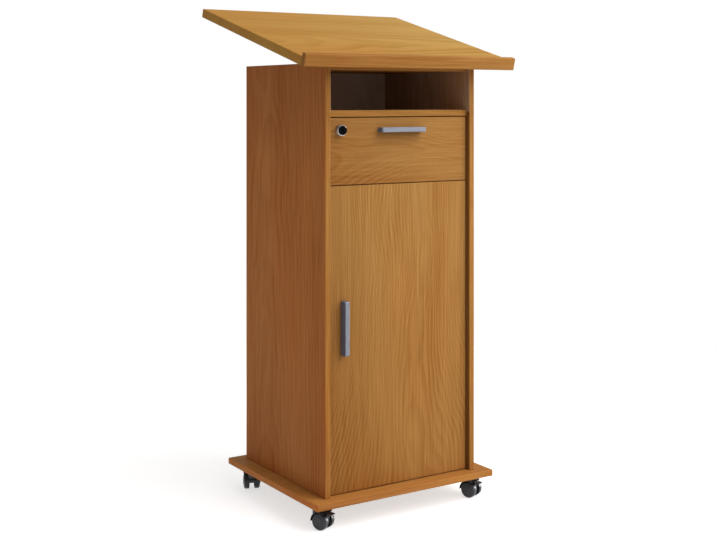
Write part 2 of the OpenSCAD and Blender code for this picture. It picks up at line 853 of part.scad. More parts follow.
// Hood of a twin castor: a web between the wheels, a mudguard over them and a boss for the swivel pin
module castor_hood(i) {
    color(castor_black)
        at_castor(i)
            difference() {
                union() {
                    translate([0, -trail, wheel_r])
                        mudguard();
                    translate([0, -trail, wheel_r])
                        hood_web();
                    pin_x([-web_half, -trail - lever_out, wheel_r + lever_up], lever_ear_r, 2 * web_half);
                    pin_z([0, 0, wheel_d - boss_in], boss_r,
                          castor_head + boss_in - race_t - slide_fit, turned_fn);
                }
                for (x = [web_half, -web_half - 2 * hood_half])
                    pin_x([x, -trail, wheel_r], wheel_r + wheel_clear, 2 * hood_half, turned_fn);
                pin_x([-hood_half, -trail, wheel_r], axle_r + press_fit, 2 * hood_half);
                pin_z([0, 0, king_z0 - 1], king_r + run_fit, castor_h);
                if (len(search(i, braked_ids)) > 0)
                    lever_slot();
            }
}

// Room for the brake lever's hub and arm between two ears of the hood's web
module lever_slot() {
    half = lever_hub_half + turn_gap;
    translate([-half, -trail - lever_reach, wheel_r + lever_up - lever_ear_r - turn_gap])
        cube([2 * half, lever_reach - lever_out + lever_ear_r + turn_gap, wheel_r]);
    pin_x([-hood_half, -trail - lever_out, wheel_r + lever_up], lever_pin_r + run_fit, 2 * hood_half);
}

module castor_axle(i) {
    color(chrome)
        at_castor(i)
            pin_x([-axle_half, -trail, wheel_r], axle_r, 2 * axle_half);
}

// Height of a wheel's domed outer face, at a distance from the axle
function dome(r) = wheel_w - dome_rise * pow(r / (wheel_r - shoulder), 2);

// Half section of a wheel: distance from the axle, then distance from its inner face.
// The inner side is hollow between the hub and the rim, and the outer face has a ring groove.
function wheel_section() = concat(
    [[axle_r + run_fit, wheel_clear / 3], [hub_r, wheel_clear / 3], [hub_r + groove, wheel_w * 0.62],
     [wheel_r - rim_t, wheel_w * 0.62], [wheel_r - rim_t + 2 * groove, groove],
     [wheel_r - groove, 0], [wheel_r, groove]],
    arc([wheel_r - shoulder, dome(wheel_r - shoulder) - shoulder], shoulder, 0, 90, 6),
    [for (k = [1, 0.5, -0.5, -1])
        let (r = groove_at + k * groove)
        [r, dome(r) - (abs(k) < 1 ? groove : 0)]],
    [for (k = [1 : 4]) let (r = groove_at * (1 - k / 4)) [r, dome(r)]],
    [[0, wheel_w * 0.72], [axle_r + run_fit, wheel_w * 0.72]]);

module castor_wheel(i, side) {
    color(black)
        at_castor(i)
            translate([side * wheel_gap / 2, -trail, wheel_r])
                rotate([0, side * 90, 0])
                    rotate_extrude($fn = 96)
                        polygon(wheel_section());
}

// Brake lever: a hub with stub pins between the hood's ears, and a pedal to step on
module brake_lever(i) {
    color(black)
        at_castor(i)
            translate([0, -trail - lever_out, wheel_r + lever_up]) {
                pin_x([-lever_hub_half, 0, 0], lever_hub_r, 2 * lever_hub_half);
                pin_x([-web_half, 0, 0], lever_pin_r, 2 * web_half);
                rotate([90, 0, 90])
                    linear_extrude(2 * lever_hub_half, center = true)
                        polygon([[0, -lever_hub_r * 0.7], [0, pedal_t], [-2 * pedal_t, pedal_t * 0.8],
                                 [-4 * pedal_t, pedal_t * 0.1], [-4 * pedal_t, -pedal_t],
                                 [-2 * pedal_t, -pedal_t * 0.6]]);
                rotate([90, 0, 90])
                    linear_extrude(2 * pedal_half, center = true)
                        polygon(concat([[-2 * pedal_t, pedal_t * 0.75], [-2 * pedal_t, -pedal_t * 0.25],
                                        [-3.5 * pedal_t, -pedal_t * 0.5]],
                                       arc([lever_out - lever_reach + pedal_t / 2, 0], pedal_t / 2,
                                           250, 80, 5)));
            }
}

base_board();
left_side_panel();
right_side_panel();
top_panel();
back_panel();
fixed_shelf();
divider_panel();
adjustable_shelf();
shelf_pegs();
drawer_rails();
hinge_plates();
hinge_arms();
castor_plates();
tilt_lower_leaves();
tilt_rivets();
reading_board();
paper_lip();
tilt_upper_leaves();
drawer_front();
drawer_left_side();
drawer_right_side();
drawer_back();
drawer_bottom();
drawer_handle();
lock_housing();
lock_plug();
lock_cam();
door_panel();
door_handle();
hinge_cups();
hinge_pins();
for (i = castor_ids) {
    castor_hood(i);
    castor_axle(i);
    castor_wheel(i, -1);
    castor_wheel(i, 1);
}
for (i = braked_ids)
    brake_lever(i);
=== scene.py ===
"""Finishes the standing desk: wood figure, metal, moulded plastic, screws, and the studio round it."""
import json
import math
from collections import namedtuple

import bmesh
import bpy
from mathutils import Matrix, Vector


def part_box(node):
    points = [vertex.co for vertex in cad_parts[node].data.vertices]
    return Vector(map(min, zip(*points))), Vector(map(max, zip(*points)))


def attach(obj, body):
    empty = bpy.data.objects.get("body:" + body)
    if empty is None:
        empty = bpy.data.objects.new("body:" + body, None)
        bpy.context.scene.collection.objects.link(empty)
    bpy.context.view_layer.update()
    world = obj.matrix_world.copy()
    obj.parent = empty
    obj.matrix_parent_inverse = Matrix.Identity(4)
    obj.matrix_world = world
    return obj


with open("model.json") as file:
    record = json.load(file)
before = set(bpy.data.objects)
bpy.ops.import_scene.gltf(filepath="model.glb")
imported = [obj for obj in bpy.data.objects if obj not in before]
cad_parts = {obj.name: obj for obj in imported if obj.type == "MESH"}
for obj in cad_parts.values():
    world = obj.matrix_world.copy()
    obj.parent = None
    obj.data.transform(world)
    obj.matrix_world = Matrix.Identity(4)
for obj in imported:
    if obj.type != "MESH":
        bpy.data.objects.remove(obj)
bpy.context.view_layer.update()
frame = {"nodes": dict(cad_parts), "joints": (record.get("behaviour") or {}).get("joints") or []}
NODES = frame["nodes"]
JOINTS = {joint["name"]: joint for joint in frame["joints"]}

bl_info = {
    "name": "Standing Desk Finish",
    "version": (1, 0, 0),
    "blender": (4, 5, 0),
    "location": "3D View > Sidebar > Desk",
    "description": "Gives the desk its wood, metal and plastic finishes, its screws and its studio",
    "category": "Object",
}

CASTORS = ("front_left", "front_right", "rear_left", "rear_right")
BRAKED_CASTORS = CASTORS[:2]

# Axes, and the ways that faces look
X, Y, Z = 0, 1, 2
LEFT, RIGHT = (-1, 0, 0), (1, 0, 0)
FRONT, REAR = (0, -1, 0), (0, 1, 0)
DOWN, UP = (0, 0, -1), (0, 0, 1)

# Sizes repeated from the part, in metres
MM = 0.001
TILT = math.radians(15)

# Castor plates: their thickness, and the distance of their holes from the swivel's axis, both ways
PLATE_T = 2.5 * MM
PLATE_HOLE = 14 * MM

# Hinges: the thickness of the cup's flange, and how far the flange's ends, its screws and the hinge
# plate's screws are from the hinge's middle
CUP_FLANGE_T = 1.2 * MM
CUP_FLANGE_HALF = 31.1 * MM
CUP_SCREW = 25.5 * MM
WING_SCREW = 18 * MM

# Handles: how far each screw is from the middle
HANDLE_SCREW = 56 * MM

# Tilt fittings: their distance from the middle, the leaves' thickness and width, their reach from the
# axis, and the width of the stack of leaves and housing
FITTING_X = 140 * MM
LEAF_T = 2.5 * MM
LEAF_W = 34 * MM
LEAF_REACH = 13 * MM
LEAF_STACK = 12.8 * MM

# Tilt fittings: how far a lower leaf's middle is behind the axis and an upper one's before it, how far
# the screws are from that middle, and the rows of screws as shares of the leaf's width
LEAF_SHIFT = 14 * MM
LEAF_SCREW = 29 * MM
LEAF_ROWS = (0.35, 0.75)

# Screw heads: radius and height
PLATE_HEAD = (3.6 * MM, 1.5 * MM)
HANDLE_HEAD = (3.8 * MM, 2.0 * MM)
LEAF_HEAD = (3.4 * MM, 1.4 * MM)

# Shape of a screw head, as shares of its radius and height: its profile, and its cross recess, which
# narrows towards its floor
HEAD_SIDES = 32
HEAD_PROFILE = ((1.0, 0.0), (1.0, 0.35), (0.93, 0.7), (0.74, 1.0))
RECESS_ARM = 0.55
RECESS_HALF_WIDTH = 0.12
RECESS_DEPTH = 0.7
RECESS_FLOOR = 0.7

# Wood's layers: how many features there are to a metre across the board, through it and along the grain
WAVE_SCALE = (4.5, 4.5, 2.4)
WOBBLE_SCALE = (60, 60, 6)
PATCH_SCALE = (9, 9, 2.5)
FIBRE_SCALE = (420, 420, 7)
BROAD_SCALE = (7, 7, 1.2)
PORE_SCALE = (1500, 1500, 95)
WARM_SCALE = (6, 6, 1.6)

# The span of noise that each mask is stretched over, and how squarely a face looks one way to be stained
NOISE_SPAN = (0.3, 0.7)
FIBRE_SPAN = (0.28, 0.72)
PORE_SPAN = (0.64, 0.72)
WARM_SPAN = (0.35, 0.65)
BLOTCH_SPAN = (0.35, 0.7)
FACING_SPAN = (0.4, 0.6)

# Late wood: where in a ring it darkens and ends, how far a ring strays in ring widths, and the least
# strength that patches and single rings keep
LATE_RISE = (0.25, 0.86)
LATE_FALL = (0.90, 1.0)
RING_WOBBLE = 0.5
PATCH_LEAST = 0.35
RING_LEAST = 0.45

# The middle value of the noise that bends the rings, in three directions
NOISE_MIDDLE = (0.5, 0.5, 0.5)

# Strength of the broad shade and of the pores, the tints of the warm patches and of the pores, and the
# roughness of pale and of dark wood
BROAD_STRENGTH = 0.28
PORE_STRENGTH = 0.30
WARM_TINT = (1.0, 0.86, 0.72)
PORE_TINT = (0.62, 0.52, 0.45)
WOOD_ROUGHNESS = (0.42, 0.54)

# How high the fibres stand and how deep the pores lie, and the rings' strength on a banded board's edges
FIBRE_HEIGHT = 0.25
PORE_DEPTH = 0.75
EDGE_RINGS = 0.25

# How many scratches brushed metal has to a metre, and plastic's blotches and metal's clouds likewise
SCRATCH_SCALE = (2600, 2600, 30)
BLOTCH_SCALE = 45.0
CLOUD_SCALE = 30.0

# Bump of each finish: its strength and its height
WOOD_BUMP = (0.18, 0.2 * MM)
PLASTIC_BUMP = (0.25, 0.2 * MM)
BRUSHED_BUMP = (0.1, 0.1 * MM)
POLISHED_BUMP = (0.02, 0.1 * MM)

# Cuts: the axes across the board, through it and along the grain
SIDE_CUT = (Y, X, Z)
SHELF_CUT = (Y, Z, X)
UPRIGHT_CUT = (X, Y, Z)
CROSSWAYS_CUT = (Z, Y, X)
BOX_CUT = (Z, X, Y)

# Pale and dark tones of the boards that differ from the settings
BASE_TONES = ((0.555, 0.270, 0.078), (0.365, 0.145, 0.030))
# The rear's tones are painted light, paler and greyer than the other boards'
REAR_PAINTED_LIGHT_TONES = ((0.68, 0.52, 0.41), (0.55, 0.41, 0.31))
TOP_TONES = ((0.535, 0.285, 0.060), (0.375, 0.168, 0.026))
DRAWER_TONES = ((0.452, 0.228, 0.068), (0.295, 0.122, 0.027))
DOOR_TONES = ((0.500, 0.270, 0.084), (0.325, 0.146, 0.034))
BOX_TONES = ((0.62, 0.47, 0.30), (0.50, 0.35, 0.20))

# Painted light and shade multiply a material's colour, on the faces that look one way or on all, and over
# the whole or with a fade: an axis, the place where the painting is full and the place where it is gone
PaintedLight = namedtuple("PaintedLight", "colour faces fade", defaults=(None, None))

# Painted light and shade of the side panels: painted shade on the left outer face, a weaker copy of it on
# the lit right one, painted shadow towards the top, under the reading board, and painted shade towards the
# foot. Their inner faces are the reveals, with painted shade, and with painted light that makes them paler
# in the open compartment
LEFT_SIDE_PAINTED_SHADE = PaintedLight((1.15, 0.885, 0.86), LEFT)
RIGHT_SIDE_PAINTED_SHADE = PaintedLight((1.06, 0.95, 0.93), RIGHT)
REVEAL_PAINTED_SHADE = (0.60, 0.63, 0.62)
COMPARTMENT_PAINTED_LIGHT = (2.10, 2.90, 7.5)
COMPARTMENT_FADE = (Z, 0.960, 0.955)
SIDE_TOP_PAINTED_SHADOW = PaintedLight((0.84, 0.82, 0.82), fade=(Z, 1.02, 0.78))
SIDE_FOOT_PAINTED_SHADE = PaintedLight((0.93, 0.91, 0.90), fade=(Z, 0.08, 0.32))

# Painted light and shade of the other boards: painted light on the shelves' upper faces and painted shade
# on their fronts, painted shade on the base's left edge and towards the left of its front, a painted sheen
# towards the right of the reading board, and painted shade towards the left of the lip
SHELF_PAINTED_LIGHT_AND_SHADE = (PaintedLight((1.1, 1.4, 1.9), UP), PaintedLight((0.93, 0.92, 0.90), FRONT))
BASE_PAINTED_SHADE = (PaintedLight((1.25, 1.0, 1.0), LEFT), PaintedLight((0.86, 0.79, 0.82), FRONT, (X, -0.12, 0.15)))
TOP_PAINTED_SHEEN = PaintedLight((1.08, 1.24, 1.60), fade=(X, 0.32, -0.30))
LIP_PAINTED_SHADE = PaintedLight((0.86, 0.82, 0.83), fade=(X, -0.30, 0.15))
# Painted shade towards the left of the drawer front and of the door, and towards the door's foot
FRONTS_PAINTED_SHADE = (0.84, 0.80, 0.77)
DRAWER_PAINTED_SHADE = PaintedLight(FRONTS_PAINTED_SHADE, fade=(X, -0.20, 0.15))
DOOR_PAINTED_SHADE = (PaintedLight(FRONTS_PAINTED_SHADE, fade=(X, -0.20, 0.02)), PaintedLight((0.92, 0.83, 0.76), fade=(Z, 0.25, 0.80)))

# Painted shade of the handles' ends and sides, bluer than their fronts, and painted shade on the upper part
# of the lock's collar, standing in for its darker reflection, and where the collar's is full and where it
# is gone, up from the middle of the plug
HANDLE_END_PAINTED_SHADE = (0.66, 0.78, 1.02)
HANDLE_SIDE_PAINTED_SHADE = (0.78, 0.88, 1.12)
COLLAR_PAINTED_SHADE = (0.38, 0.36, 0.33)
COLLAR_FULL = 9 * MM
COLLAR_NONE = -6 * MM

# Tones of the scratches and of the worn plastic, as shares of the finish's own tone
HANDLE_SCRATCH = 0.82
CHROME_SCRATCH = 0.93
ZINC_SCRATCH = 0.8
HOOD_WEAR = 1.5
WHEEL_WEAR = 1.7

# Tones that aren't settings
SCREW_TONE = (0.50, 0.51, 0.54)
SCREW_SCRATCH = (0.36, 0.37, 0.40)
PLUG_TONES = ((0.003, 0.003, 0.003), (0.005, 0.005, 0.005))

# The window that the metal and plastic mirror: its direction, how it fades in, and how bright it is
WINDOW = (0.97, -0.17, 0.17)
WINDOW_EDGE = (0.94, 0.98)
WINDOW_GAIN = 20.0

# The ceiling that they mirror: how far up it starts to dim and is dim, and how bright it is there
CEILING_HEIGHTS = (-0.05, 0.5)
CEILING_LEVEL = 0.3

# The large soft light
KEY_PLACE = (1.7, -2.6, 3.7)
KEY_AIM = (0, 0, 0.7)
KEY_SIZE = 4.4

# The floor: its radius and sides, where it fades to white, its two tones and how many specks of them
# there are to a metre, how far it is lifted towards white, and its gloss
FLOOR_REACH = 9.0
FLOOR_SIDES = 96
FLOOR_FADE = (0.8, 2.4)
FLOOR_TONES = ((0.82, 0.82, 0.82), (0.80, 0.80, 0.80))
FLOOR_SPECKS = 3.0
FLOOR_LIFT = 0.62
FLOOR_ROUGHNESS = 0.8
FLOOR_SPECULAR = 0.1

WHITE = (1, 1, 1, 1)

# Spans that values are mapped from and to
ZERO_TO_ONE = (0.0, 1.0)
ONE_TO_ZERO = (1.0, 0.0)

# Where a Mix node has its factor, its two numbers and its two colours, and where it gives each result
MIX_FACTOR = 0
MIX_NUMBERS = (2, 3)
MIX_COLOURS = (6, 7)
MIXED_NUMBER = 0
MIXED_COLOUR = 2

# The camera's sensor in millimetres, and how far it sees in metres
SENSOR_WIDTH = 36
FARTHEST_SEEN = 60


# Node building
def set_inputs(tree, node, inputs):
    """Links or sets a node's inputs."""
    for key, value in inputs.items():
        if isinstance(value, bpy.types.NodeSocket):
            tree.links.new(value, node.inputs[key])
        else:
            node.inputs[key].default_value = value


def add_node(tree, kind, inputs=None, **settings):
    """Adds a node, sets its options, and links or sets its inputs."""
    node = tree.nodes.new(kind)
    for key, value in settings.items():
        setattr(node, key, value)
    set_inputs(tree, node, inputs or {})
    return node


def maths(tree, operation, *values, clamp=False):
    """Works out a number from sockets or numbers."""
    inputs = dict(enumerate(values))
    return add_node(tree, "ShaderNodeMath", inputs, operation=operation, use_clamp=clamp).outputs[0]


def vector_maths(tree, operation, *values):
    """Works out a vector from vectors, or a number where the operation gives one."""
    node = add_node(tree, "ShaderNodeVectorMath", dict(enumerate(values)), operation=operation)
    return node.outputs["Value" if operation in ("DOT_PRODUCT", "LENGTH") else "Vector"]


def ramp(tree, value, span, result=ZERO_TO_ONE, smooth=True):
    """Maps a value from one span to another, held at the ends."""
    low, high = span
    start, end = result
    inputs = {"Value": value, "From Min": low, "From Max": high, "To Min": start, "To Max": end}
    course = "SMOOTHSTEP" if smooth else "LINEAR"
    return add_node(tree, "ShaderNodeMapRange", inputs, interpolation_type=course).outputs["Result"]


def mix_colour(tree, factor, *colours, blend="MIX"):
    """Mixes two colours, each a socket or three numbers."""
    inputs = {MIX_FACTOR: factor}
    for key, colour in zip(MIX_COLOURS, colours):
        inputs[key] = colour if isinstance(colour, bpy.types.NodeSocket) else (*colour, 1)
    node = add_node(tree, "ShaderNodeMix", inputs, data_type="RGBA", blend_type=blend)
    return node.outputs[MIXED_COLOUR]


def mix_number(tree, factor, *numbers):
    """Mixes two numbers."""
    inputs = {MIX_FACTOR: factor, **dict(zip(MIX_NUMBERS, numbers))}
    return add_node(tree, "ShaderNodeMix", inputs, data_type="FLOAT").outputs[MIXED_NUMBER]


def noise(tree, vector, scale=1.0, detail=2.0, rough=0.5, output="Fac"):
    """Soft noise, as a number or as a colour."""
    inputs = {"Vector": vector, "Scale": scale, "Detail": detail, "Roughness": rough}
    return add_node(tree, "ShaderNodeTexNoise", inputs).outputs[output]


def stretched_noise(tree, vector, scale, **settings):
    """Noise with its own scale along each axis."""
    return noise(tree, vector_maths(tree, "MULTIPLY", vector, scale), **settings)


def object_place(tree):
    """The desk's own coordinates in metres, which a piece keeps as it moves."""
    return add_node(tree, "ShaderNodeTexCoord").outputs["Object"]


def separated(tree, vector):
    """The three numbers of a vector."""
    return add_node(tree, "ShaderNodeSeparateXYZ", {0: vector}).outputs


def reordered(tree, vector, axes):
    """A vector with its axes in another order."""
    parts = separated(tree, vector)
    inputs = {to: parts[axis] for to, axis in enumerate(axes)}
    return add_node(tree, "ShaderNodeCombineXYZ", inputs).outputs[0]


def surface_group(name, inputs, build):
    """The node group of a name, made at its first use. Each input has a label, a kind and a value. Build
    adds the nodes and gives the sockets of the colour, the roughness and the height."""
    if name in bpy.data.node_groups:
        return bpy.data.node_groups[name]
    tree = bpy.data.node_groups.new(name, "ShaderNodeTree")
    for label, kind, value in inputs:
        socket = tree.interface.new_socket(name=label, in_out="INPUT", socket_type="NodeSocket" + kind)
        if value is not None:
            socket.default_value = value
    for label, kind in (("Color", "Color"), ("Roughness", "Float"), ("Height", "Float")):
        tree.interface.new_socket(name=label, in_out="OUTPUT", socket_type="NodeSocket" + kind)
    given = tree.nodes.new("NodeGroupInput")
    made = tree.nodes.new("NodeGroupOutput")
    colour, roughness, height = build(tree, given.outputs)
    set_inputs(tree, made, {"Color": colour, "Roughness": roughness, "Height": height})
    return tree


# Finishes that more than one material uses
def late_wood(tree, grain, given):
    """The dark part of each ring, round a tapering heart. From one place along the grain to another, the
    figure draws in towards the heart by the flare."""
    wave = stretched_noise(tree, grain, WAVE_SCALE, detail=2.5, rough=0.4, output="Color")
    wave = vector_maths(tree, "SUBTRACT", wave, NOISE_MIDDLE)
    wave = add_node(tree, "ShaderNodeVectorMath", {0: wave, "Scale": given["Waviness"]}, operation="SCALE")
    across, through, along = separated(tree, vector_maths(tree, "ADD", grain, wave.outputs[0]))
    depth = maths(tree, "MULTIPLY_ADD", along, given["Taper"], through)
    narrowing = ramp(tree, along, (given["Flare From"], given["Flare To"]))
    narrowing = maths(tree, "ADD", maths(tree, "MULTIPLY", narrowing, given["Flare"]), 1.0)
    sideways = maths(tree, "MULTIPLY", across, narrowing)
    flat_square = maths(tree, "MULTIPLY", sideways, sideways)
    deep_square = maths(tree, "MULTIPLY", depth, depth)
    radius = maths(tree, "SQRT", maths(tree, "ADD", flat_square, deep_square))
    rings = maths(tree, "DIVIDE", radius, given["Ring Spacing"])
    wobble = stretched_noise(tree, grain, WOBBLE_SCALE)
    rings = maths(tree, "ADD", rings, maths(tree, "MULTIPLY", wobble, RING_WOBBLE))
    phase = maths(tree, "FRACT", rings)
    fall = ramp(tree, phase, LATE_FALL, ONE_TO_ZERO)
    late = maths(tree, "MULTIPLY", ramp(tree, phase, LATE_RISE), fall)
    number = add_node(tree, "ShaderNodeCombineXYZ", {0: maths(tree, "FLOOR", rings)}).outputs[0]
    uneven = add_node(tree, "ShaderNodeTexWhiteNoise", {"Vector": number}, noise_dimensions="3D")
    uneven = ramp(tree, uneven.outputs["Value"], ZERO_TO_ONE, (RING_LEAST, 1.0), smooth=False)
    patchy = stretched_noise(tree, grain, PATCH_SCALE, detail=1.0)
    patchy = ramp(tree, patchy, NOISE_SPAN, (PATCH_LEAST, 1.0))
    return maths(tree, "MULTIPLY", late, maths(tree, "MULTIPLY", patchy, uneven))


def build_sawn_wood(tree, given):
    """Adds the nodes of sawn wood: rings, long fibres, a broad shade, short pores and warm patches."""
    grain = given["Grain Vector"]
    late = late_wood(tree, grain, given)
    fibre = ramp(tree, stretched_noise(tree, grain, FIBRE_SCALE, detail=3.0, rough=0.6), FIBRE_SPAN)
    broad = ramp(tree, stretched_noise(tree, grain, BROAD_SCALE, detail=1.0), NOISE_SPAN)
    pores = ramp(tree, stretched_noise(tree, grain, PORE_SCALE, detail=1.0), PORE_SPAN)
    warm = ramp(tree, stretched_noise(tree, grain, WARM_SCALE), WARM_SPAN)

    shade = maths(tree, "MULTIPLY", late, given["Ring Strength"])
    shade = maths(tree, "ADD", shade, maths(tree, "MULTIPLY", fibre, given["Fibre Strength"]))
    shade = maths(tree, "ADD", shade, maths(tree, "MULTIPLY", broad, BROAD_STRENGTH), clamp=True)
    colour = mix_colour(tree, shade, given["Light Tone"], given["Dark Tone"])
    warm = maths(tree, "MULTIPLY", warm, given["Warm Patches"])
    colour = mix_colour(tree, warm, colour, WARM_TINT, blend="MULTIPLY")
    pore_tone = mix_colour(tree, 1.0, given["Dark Tone"], PORE_TINT, blend="MULTIPLY")
    colour = mix_colour(tree, maths(tree, "MULTIPLY", pores, PORE_STRENGTH), colour, pore_tone)

    roughness = ramp(tree, shade, ZERO_TO_ONE, WOOD_ROUGHNESS, smooth=False)
    raised = maths(tree, "MULTIPLY", fibre, FIBRE_HEIGHT)
    height = maths(tree, "SUBTRACT", raised, maths(tree, "MULTIPLY", pores, PORE_DEPTH))
    return colour, roughness, height


def sawn_wood_group():
    """Sawn wood. The grain vector runs across the board, through it, and along the grain."""
    inputs = [
        ("Grain Vector", "Vector", None),
        ("Light Tone", "Color", (0.4, 0.18, 0.05, 1)),
        ("Dark Tone", "Color", (0.3, 0.12, 0.03, 1)),
        ("Ring Spacing", "Float", 0.012),
        ("Taper", "Float", 0.12),
        ("Waviness", "Float", 0.03),
        ("Ring Strength", "Float", 0.6),
        ("Fibre Strength", "Float", 0.35),
        ("Warm Patches", "Float", 0.5),
        ("Flare", "Float", 0.0),
        ("Flare From", "Float", 0.0),
        ("Flare To", "Float", 1.0),
    ]
    return surface_group("Sawn Wood", inputs, build_sawn_wood)


def build_moulded_grain(tree, given):
    """Adds the nodes of moulded grain: fine grain, and blotches that change the tone and the gloss."""
    grain = noise(tree, given["Vector"], given["Grain Size"], detail=3.0)
    blotch = ramp(tree, noise(tree, given["Vector"], BLOTCH_SCALE, detail=3.0), BLOTCH_SPAN)
    colour = mix_colour(tree, blotch, given["Tone"], given["Worn Tone"])
    return colour, mix_number(tree, blotch, given["Smooth"], given["Dull"]), grain


def moulded_grain_group():
    """Fine moulded grain: a slight change of tone, gloss and height over the surface."""
    inputs = [
        ("Vector", "Vector", None),
        ("Tone", "Color", (0.05, 0.05, 0.05, 1)),
        ("Worn Tone", "Color", (0.08, 0.08, 0.08, 1)),
        ("Grain Size", "Float", 1500.0),
        ("Smooth", "Float", 0.35),
        ("Dull", "Float", 0.55),
    ]
    return surface_group("Moulded Grain", inputs, build_moulded_grain)


def build_brushed_metal(tree, given):
    """Adds the nodes of brushed metal: scratches along the vector's third axis, and a clouded gloss."""
    lines = ramp(tree, stretched_noise(tree, given["Vector"], SCRATCH_SCALE), NOISE_SPAN)
    cloud = ramp(tree, noise(tree, given["Vector"], CLOUD_SCALE), NOISE_SPAN)
    colour = mix_colour(tree, lines, given["Tone"], given["Scratch Tone"])
    return colour, mix_number(tree, cloud, given["Smooth"], given["Dull"]), lines


def brushed_metal_group():
    """Metal brushed along one line: long fine scratches that change tone, gloss and height."""
    inputs = [
        ("Vector", "Vector", None),
        ("Tone", "Color", (0.5, 0.5, 0.52, 1)),
        ("Scratch Tone", "Color", (0.4, 0.4, 0.42, 1)),
        ("Smooth", "Float", 0.25),
        ("Dull", "Float", 0.4),
    ]
    return surface_group("Brushed Metal", inputs, build_brushed_metal)


# Materials
def new_material(name):
    """An empty material, with its node tree and its Principled shader joined to its output."""
    material = bpy.data.materials.new(name)
    material.use_nodes = True
    tree = material.node_tree
    tree.nodes.clear()
    shader = tree.nodes.new("ShaderNodeBsdfPrincipled")
    add_node(tree, "ShaderNodeOutputMaterial", {"Surface": shader.outputs[0]})
    return material, tree, shader


def finish_surface(tree, shader, group, bump, colour=None):
    """Joins a group's colour, or one with painted light and shade, its gloss and its height to the shader.
    """
    strength, distance = bump
    inputs = {"Height": group.outputs["Height"], "Strength": strength, "Distance": distance}
    normal = add_node(tree, "ShaderNodeBump", inputs).outputs[0]
    colour = colour or group.outputs["Color"]
    roughness = group.outputs["Roughness"]
    set_inputs(tree, shader, {"Base Color": colour, "Roughness": roughness, "Normal": normal})


def facing(tree, direction, result=ZERO_TO_ONE):
    """Reaches the end of the result's span on the faces that look along a direction."""
    normal = add_node(tree, "ShaderNodeTexCoord").outputs["Normal"]
    return ramp(tree, vector_maths(tree, "DOT_PRODUCT", normal, direction), FACING_SPAN, result)


def fading(tree, axis, full, none):
    """One at a place along an axis, and falling to zero at another."""
    return ramp(tree, separated(tree, object_place(tree))[axis], (full, none), ONE_TO_ZERO)


def with_painted_light(tree, colour, painted_light):
    """Multiplies a colour by painted light and shade."""
    for painted in painted_light:
        amount = facing(tree, painted.faces) if painted.faces else 1.0
        if painted.fade:
            amount = maths(tree, "MULTIPLY", amount, fading(tree, *painted.fade))
        colour = mix_colour(tree, amount, colour, painted.colour, blend="MULTIPLY")
    return colour


def grain_vector(tree, cut, heart, tilt):
    """A board's own coordinates in metres from the log's heart, in the order of its cut."""
    place = object_place(tree)
    if tilt:
        inputs = {"Vector": place, "Angle": -tilt}
        place = add_node(tree, "ShaderNodeVectorRotate", inputs, rotation_type="X_AXIS").outputs[0]
    return vector_maths(tree, "SUBTRACT", reordered(tree, place, cut), heart)


def wood_material(
        name, look, cut, heart, spacing, taper, wave, rings, fibre=0.35, warm=0.5,
        flare=(0.0, 0.0, 1.0), tilt=0.0, tones=None, banded=False, painted_light=()):
    """Wood with its own cut. The heart is the place of the log's middle, in the order of the cut. The flare
    has its size and where along the grain it starts and ends. A banded board shows its rings on the faces
    across X, and little of them on its edges."""
    material, tree, shader = new_material(name)
    light, dark = tones or (look.light_tone, look.dark_tone)
    flare_size, flare_from, flare_to = flare
    if banded:
        sides = maths(tree, "ADD", facing(tree, LEFT), facing(tree, RIGHT))
        rings = ramp(tree, sides, ZERO_TO_ONE, (EDGE_RINGS, rings))
    group = add_node(
        tree,
        "ShaderNodeGroup",
        {
            "Grain Vector": grain_vector(tree, cut, heart, tilt),
            "Light Tone": (*light, 1),
            "Dark Tone": (*dark, 1),
            "Ring Spacing": spacing,
            "Taper": taper,
            "Waviness": wave,
            "Ring Strength": rings,
            "Fibre Strength": fibre,
            "Warm Patches": warm,
            "Flare": flare_size,
            "Flare From": flare_from,
            "Flare To": flare_to,
        },
        node_tree=sawn_wood_group(),
    )
    # Painted light and shade multiply the wood's colour
    finish_surface(tree, shader, group, WOOD_BUMP, with_painted_light(tree, group.outputs["Color"], painted_light))
    shader.inputs["Specular IOR Level"].default_value = look.gloss
    return material


def moulded_material(name, tone, worn, smooth, dull=0.5, grain=1500.0, specular=0.5):
    """Moulded plastic with a fine grain."""
    material, tree, shader = new_material(name)
    group = add_node(
        tree,
        "ShaderNodeGroup",
        {
            "Vector": object_place(tree),
            "Tone": (*tone, 1),
            "Worn Tone": (*worn, 1),
            "Grain Size": grain,
            "Smooth": smooth,
            "Dull": dull,
        },
        node_tree=moulded_grain_group(),
    )
    finish_surface(tree, shader, group, PLASTIC_BUMP)
    shader.inputs["Specular IOR Level"].default_value = specular
    return material


def metal_material(
        name, tone, scratch, along, smooth, dull, metallic=1.0, bump=BRUSHED_BUMP,
        painted_side_shade=None, painted_light=()):
    """Metal brushed along an axis. A painted side shade multiplies the faces that don't look to the front.
    """
    material, tree, shader = new_material(name)
    others = [axis for axis in (X, Y, Z) if axis != along]
    group = add_node(
        tree,
        "ShaderNodeGroup",
        {
            "Vector": reordered(tree, object_place(tree), (*others, along)),
            "Tone": (*tone, 1),
            "Scratch Tone": (*scratch, 1),
            "Smooth": smooth,
            "Dull": dull,
        },
        node_tree=brushed_metal_group(),
    )
    colour = with_painted_light(tree, group.outputs["Color"], painted_light)
    # Painted shade on the faces that don't look to the front
    if painted_side_shade:
        sides = facing(tree, FRONT, ONE_TO_ZERO)
        colour = mix_colour(tree, sides, colour, painted_side_shade, blend="MULTIPLY")
    finish_surface(tree, shader, group, bump, colour)
    shader.inputs["Metallic"].default_value = metallic
    return material


def toned(colour, share):
    """A colour made darker or paler by a share."""
    return tuple(channel * share for channel in colour)


